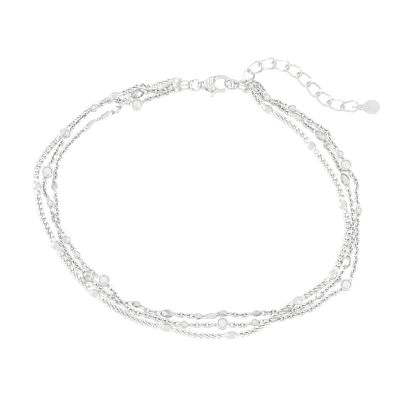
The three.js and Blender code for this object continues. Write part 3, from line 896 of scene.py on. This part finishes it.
def facet_painted_reflection(tree, wanted):
    """A painted reflection: one grey for each flat facet, from the way it faces, in place of the
    surroundings each would mirror.
    """
    facing = tree.nodes.new("ShaderNodeNewGeometry")
    snapped = tree.nodes.new("ShaderNodeVectorMath")
    snapped.operation = "SNAP"
    snapped.inputs[1].default_value = (FACET_STEP, FACET_STEP, FACET_STEP)
    chance = tree.nodes.new("ShaderNodeTexWhiteNoise")
    tree.links.new(facing.outputs["True Normal"], snapped.inputs[0])
    tree.links.new(snapped.outputs[0], chance.inputs["Vector"])
    return mapped(tree, chance.outputs["Value"], (0, 1), wanted)


def corner_painted_shade(tree, look):
    """The silver's own colour in the open, and painted shade in the corners, by how open each place
    is.
    """
    corners = tree.nodes.new("ShaderNodeAmbientOcclusion")
    corners.samples = CORNER_SAMPLES
    corners.only_local = True
    corners.inputs["Distance"].default_value = look["reach"] * MM
    ramp = tree.nodes.new("ShaderNodeValToRGB")
    colours = (look["painted_shade"], look["own_colour"])
    for stop, place, colour in zip(ramp.color_ramp.elements, CORNER_RAMP, colours):
        stop.position = place
        stop.color = (*colour, 1)
    tree.links.new(corners.outputs["AO"], ramp.inputs["Fac"])
    return ramp.outputs["Color"]


def silver(name):
    """Silver in its own colour, with painted shade in its corners and at its rims, and on cut silver a
    painted reflection for each facet.
    """
    look = SILVERS[name]
    material, tree, shader = new_material(name)
    shader.inputs["Metallic"].default_value = 1.0
    shader.inputs["Specular Tint"].default_value = SILVER_SPECULAR_TINT

    # faceted silver gets a painted reflection, one grey per facet; the rest a cloudy tone
    if look["faceted"]:
        tint = facet_painted_reflection(tree, look["tint"])
    else:
        tint = mapped_noise(tree, TINT_NOISE, look["tint"])
    # the painted corner shade, darkened further by the tint
    shaded_and_tinted = multiplied(tree, corner_painted_shade(tree, look), tint)

    facing = tree.nodes.new("ShaderNodeLayerWeight")
    facing.inputs["Blend"].default_value = 0.5
    # painted shade at the rims, where the surface turns away
    rim = mapped(tree, facing.outputs["Facing"], RIM_SHADE_RANGE, (1.0, look["rim"]))
    tree.links.new(multiplied(tree, shaded_and_tinted, rim), shader.inputs["Base Color"])

    roughness = mapped_noise(tree, ROUGHNESS_NOISE, look["roughness"])
    tree.links.new(roughness, shader.inputs["Roughness"])

    relief = tree.nodes.new("ShaderNodeBump")
    relief.inputs["Distance"].default_value = look["relief"] * MM
    relief.inputs["Strength"].default_value = 1.0
    tree.links.new(mapped_noise(tree, RELIEF_NOISE, (0, 1)), relief.inputs["Height"])
    tree.links.new(relief.outputs["Normal"], shader.inputs["Normal"])
    return material


def clear_stone():
    """A bright clear stone that is milky enough to hide the cup under it."""
    material, tree, shader = new_material("clear_stone")
    tint = tree.nodes.new("ShaderNodeMix")
    tint.data_type = "RGBA"
    tint.inputs["A"].default_value = STONE["milky"]
    tint.inputs["B"].default_value = STONE["clear"]
    tree.links.new(mapped_noise(tree, STONE["cloud_noise"], (0, 1)), tint.inputs["Factor"])
    tree.links.new(tint.outputs["Result"], shader.inputs["Base Color"])
    roughness = mapped_noise(tree, STONE["roughness_noise"], STONE["roughness"])
    tree.links.new(roughness, shader.inputs["Roughness"])
    shader.inputs["IOR"].default_value = STONE["ior"]
    shader.inputs["Transmission Weight"].default_value = STONE["transmission"]
    return material


# ---------------------------------------------------------------- the three strands


def make_curb_strand(metal, plate_metal):
    strand = Strand(CURB_ROUTE, CURB_HALF_HEIGHT, "end_link_left_1", "end_link_right_3")
    reach = {"plate": PLATE["half_length"] - PLATE["sunk"]}
    places = strand.link_places(CURB_LINK["pitch"], reach)
    links = together([curb_link().placed(*strand.at(places)), eyes(strand)])
    make_piece("curb_links", links, metal, "curb_strand")
    plates = strand.placed(plate(), "plate")
    make_piece("curb_plates", plates, plate_metal, "curb_strand")


def make_bead_strand(metal, plate_metal, cut_metal):
    strand = Strand(BEAD_ROUTE, FINE_RADIUS, "end_link_left_2", "end_link_right_2")
    reach = {
        "bar": BAR["half_length"],
        "small_bead": SMALL_BEAD["half_length"],
        "cut_bead": CUT_BEAD["half_length"],
    }
    links = [cable_links(strand, reach), eyes(strand)]
    links += [strand.placed(end_loops(half), piece) for piece, half in reach.items()]
    make_piece("bead_strand_links", together(links), metal, "bead_strand")
    bars = strand.placed(bar(), "bar")
    make_piece("oval_bars", bars, plate_metal, "bead_strand")
    sizes = {"small_bead": SMALL_BEAD, "cut_bead": CUT_BEAD}
    beads = together([strand.placed(cut_bead(size), piece) for piece, size in sizes.items()])
    make_piece("cut_beads", beads, cut_metal, "bead_strand", CUT_BELOW)


def make_stone_strand(metal, stone):
    strand = Strand(STONE_ROUTE, FINE_RADIUS, "end_link_left_3", "end_link_right_1")
    sizes = {"small_setting": SMALL_SETTING, "large_setting": LARGE_SETTING}
    reach = {piece: size["radius"] + END_LOOP["radius"] for piece, size in sizes.items()}
    links = [cable_links(strand, reach), eyes(strand)]
    links += [setting_loops(strand, piece, size) for piece, size in sizes.items()]
    make_piece("stone_strand_links", together(links), metal, "stone_strand")
    cups = together([strand.placed_upright(setting(size), piece) for piece, size in sizes.items()])
    make_piece("settings", cups, metal, "stone_strand")

    small = brilliant(SMALL_SETTING["stone"], SMALL_STONE_HEIGHT)
    small = small.moved(z=SMALL_SETTING["height"] - SMALL_STONE_DROP - FINE_RADIUS)
    small = strand.placed_upright(small, "small_setting")
    make_piece("small_stones", small, stone, "stone_strand", CUT_BELOW)
    large = brilliant(LARGE_SETTING["stone"], LARGE_STONE_HEIGHT)
    for i in range(len(strand.stations_of("large_setting"))):
        node = f"stone_{i + 1}"
        low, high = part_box(node)
        middle = (low + high) / (2 * MM)
        shape = large.moved(middle.x, middle.y, low.z / MM)
        make_piece(f"cut_{node}", shape, stone, node, CUT_BELOW)


# ---------------------------------------------------------------- rings, links and tag


def make_ring(node, wire, metal, twist=0.0):
    """A ring or link of wire in the place and size of its CAD node."""
    middle, axes, half = fitted(node)
    shape = wire_link(half[0] - wire, half[1] - wire, wire, RING_MESH, twist)
    shape = shape.placed([middle], [axes])
    make_piece(f"{node}_wire", shape, metal, node)


def make_rings(metal):
    for node, wire in RING_WIRE.items():
        make_ring(node, wire, metal)
    for node in END_LINKS:
        make_ring(node, LINK_WIRE, metal)
    for i in range(EXTENDER["count"]):
        make_ring(f"extender_link_{i + 1}", EXTENDER["wire"], metal, EXTENDER["twist"])


def cubic(start, first, second, end, steps):
    """Points of a Bezier curve, without its last."""
    t = np.linspace(0, 1, steps, endpoint=False)[:, None]
    start, first, second, end = (np.array(p, float) for p in (start, first, second, end))
    near = start * (1 - t) ** 3 + 3 * first * t * (1 - t) ** 2
    return near + 3 * second * t**2 * (1 - t) + end * t**3


def arc(middle_x, radius, start, end, steps):
    """Points of an arc about a middle on the X axis, without its last."""
    angle = np.radians(np.linspace(start, end, steps, endpoint=False))
    return np.column_stack([middle_x + radius * np.cos(angle), radius * np.sin(angle)])


def tag_outline():
    """A drop: round the eye, widening to the round far end."""
    neck, wide = TAG["neck"], TAG["half_width"]
    lobe = TAG["reach"] - wide
    eye_end = math.radians(TAG_EYE_END)
    lower = [
        (neck * math.cos(eye_end), -neck * math.sin(eye_end)),
        (lobe * TAG_SHOULDER["start"], -TAG_SHOULDER["half_width"]),
        (lobe * TAG_SHOULDER["end"], -wide),
        (lobe, -wide),
    ]
    upper = [(x, -y) for x, y in lower[::-1]]
    round_eye = arc(0, neck, TAG_EYE_END, 360 - TAG_EYE_END, TAG_STEPS["eye"])
    far_end = arc(lobe, wide, -90, 90, TAG_STEPS["end"])
    side = TAG_STEPS["side"]
    return np.vstack([round_eye, cubic(*lower, side), far_end, cubic(*upper, side)])


def at_height(outline, z):
    return np.column_stack([outline, np.full(len(outline), z)])


def between(first, last):
    """Three outlines spaced evenly between two."""
    return [first + (last - first) * share for share in (0.25, 0.5, 0.75)]


def tag_shape():
    """The drop as a plate with rounded edges, round its eye and its rim."""
    outline = tag_outline()
    tangent = unit(np.roll(outline, -1, axis=0) - np.roll(outline, 1, axis=0))
    inward = np.column_stack([-tangent[:, 1], tangent[:, 0]])
    out = unit(outline)
    hole = out * TAG["eye_radius"]
    quarter = []
    for angle in np.linspace(0, math.pi / 2, TAG_STEPS["edge"] + 1):
        quarter.append((TAG_EDGE * (1 - math.sin(angle)), TAG_EDGE * (1 - math.cos(angle))))
    rim = quarter + [(inset, TAG["thickness"] - z) for inset, z in quarter[::-1]]
    outer = [at_height(outline + inward * inset, z) for inset, z in rim]
    inner = [at_height(hole + out * inset, z) for inset, z in rim[::-1]]
    top = between(outer[-1], inner[0])
    bottom = between(inner[-1], outer[0])
    return skin(np.array([*outer, *top, *inner, *bottom]), closed=True)


def make_tag(metal):
    """The tag, its eye towards the ring that holds it."""
    middle, axes, _ = fitted("tag")
    ring_middle = fitted("tag_ring")[0]
    along = axes[:, 0] * np.sign(axes[:, 0] @ (middle - ring_middle))
    up = axes[:, 2] * np.sign(axes[2, 2])
    near_end = ((node_points("tag") - middle) @ along).min()
    eye = middle + along * (near_end + TAG["neck"]) - up * TAG["thickness"] / 2
    shape = tag_shape().placed([eye], [np.column_stack([along, np.cross(up, along), up])])
    make_piece("tag_plate", shape, metal, "tag")


# ---------------------------------------------------------------- clasp


def cast(name, node, metal, body):
    """A cast piece: a copy of the CAD node in a fine skin that is smoothed all over."""
    source = frame["nodes"][node].data.copy()
    source.transform(Matrix.Scale(1 / MM, 4))
    solid = bpy.data.objects.new(name, source)
    bpy.context.scene.collection.objects.link(solid)
    joined = bmesh.new()
    joined.from_mesh(source)
    bmesh.ops.remove_doubles(joined, verts=joined.verts, dist=CAST["merge"])
    bmesh.ops.recalc_face_normals(joined, faces=joined.faces)
    joined.to_mesh(source)
    joined.free()
    remesh = solid.modifiers.new("skin", "REMESH")
    remesh.mode = "VOXEL"
    remesh.voxel_size = CAST["voxel"]
    smooth = solid.modifiers.new("smooth", "SMOOTH")
    smooth.factor = CAST["smoothing"]
    smooth.iterations = CAST["rounds"]
    depsgraph = bpy.context.evaluated_depsgraph_get()
    mesh = bpy.data.meshes.new_from_object(solid.evaluated_get(depsgraph))
    solid.modifiers.clear()
    solid.data = mesh
    mesh.transform(Matrix.Scale(MM, 4))
    mesh.shade_smooth()
    mesh.materials.clear()
    mesh.materials.append(metal)
    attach(solid, body)
    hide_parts(node)


def collar_ridge(x, top):
    """A raised bead round the clasp's body, left open below where the lever turns."""
    corner, sunk = COLLAR["corner"], COLLAR["sunk"]
    bottom, face = COLLAR["bottom"], COLLAR["half_thickness"]
    side = [(bottom - sunk, face - sunk), (bottom, face)]
    for angle in np.linspace(math.pi / 2, 0, COLLAR_MESH["corner_steps"]):
        out, up = corner * math.cos(angle), corner * math.sin(angle)
        side.append((top - corner + out, face - corner + up))
    other_side = [(y, -z) for y, z in side[::-1]]
    path = np.array([(x, y, z) for y, z in side + other_side])
    return swept(path, circle(COLLAR["wire"], COLLAR_MESH["sides"]), up=(1, 0, 0))


def make_clasp(metal):
    """The clasp's body with its collar, and the lever that turns in it."""
    pivot = np.array(frame["joints"][0]["pos_m"]) / MM
    middle = pivot - (*PIVOT, 0)
    cast("clasp_cast_body", "clasp_body", metal, "chain")
    ridges = together([collar_ridge(x, top).moved(*middle) for x, top in COLLAR_RIDGES])
    make_piece("clasp_collar", ridges, metal, "clasp_body")
    cast("clasp_cast_lever", "clasp_lever", metal, "lever")


# ---------------------------------------------------------------- the scene

make_camera()
make_studio()

chain_metal = silver("chain_silver")
cut_metal = silver("cut_silver")
plate_metal = silver("plate_silver")
polished_metal = silver("polished_silver")
stone_glass = clear_stone()

make_curb_strand(chain_metal, plate_metal)
make_bead_strand(chain_metal, plate_metal, cut_metal)
make_stone_strand(chain_metal, stone_glass)
make_rings(polished_metal)
make_tag(polished_metal)
make_clasp(polished_metal)
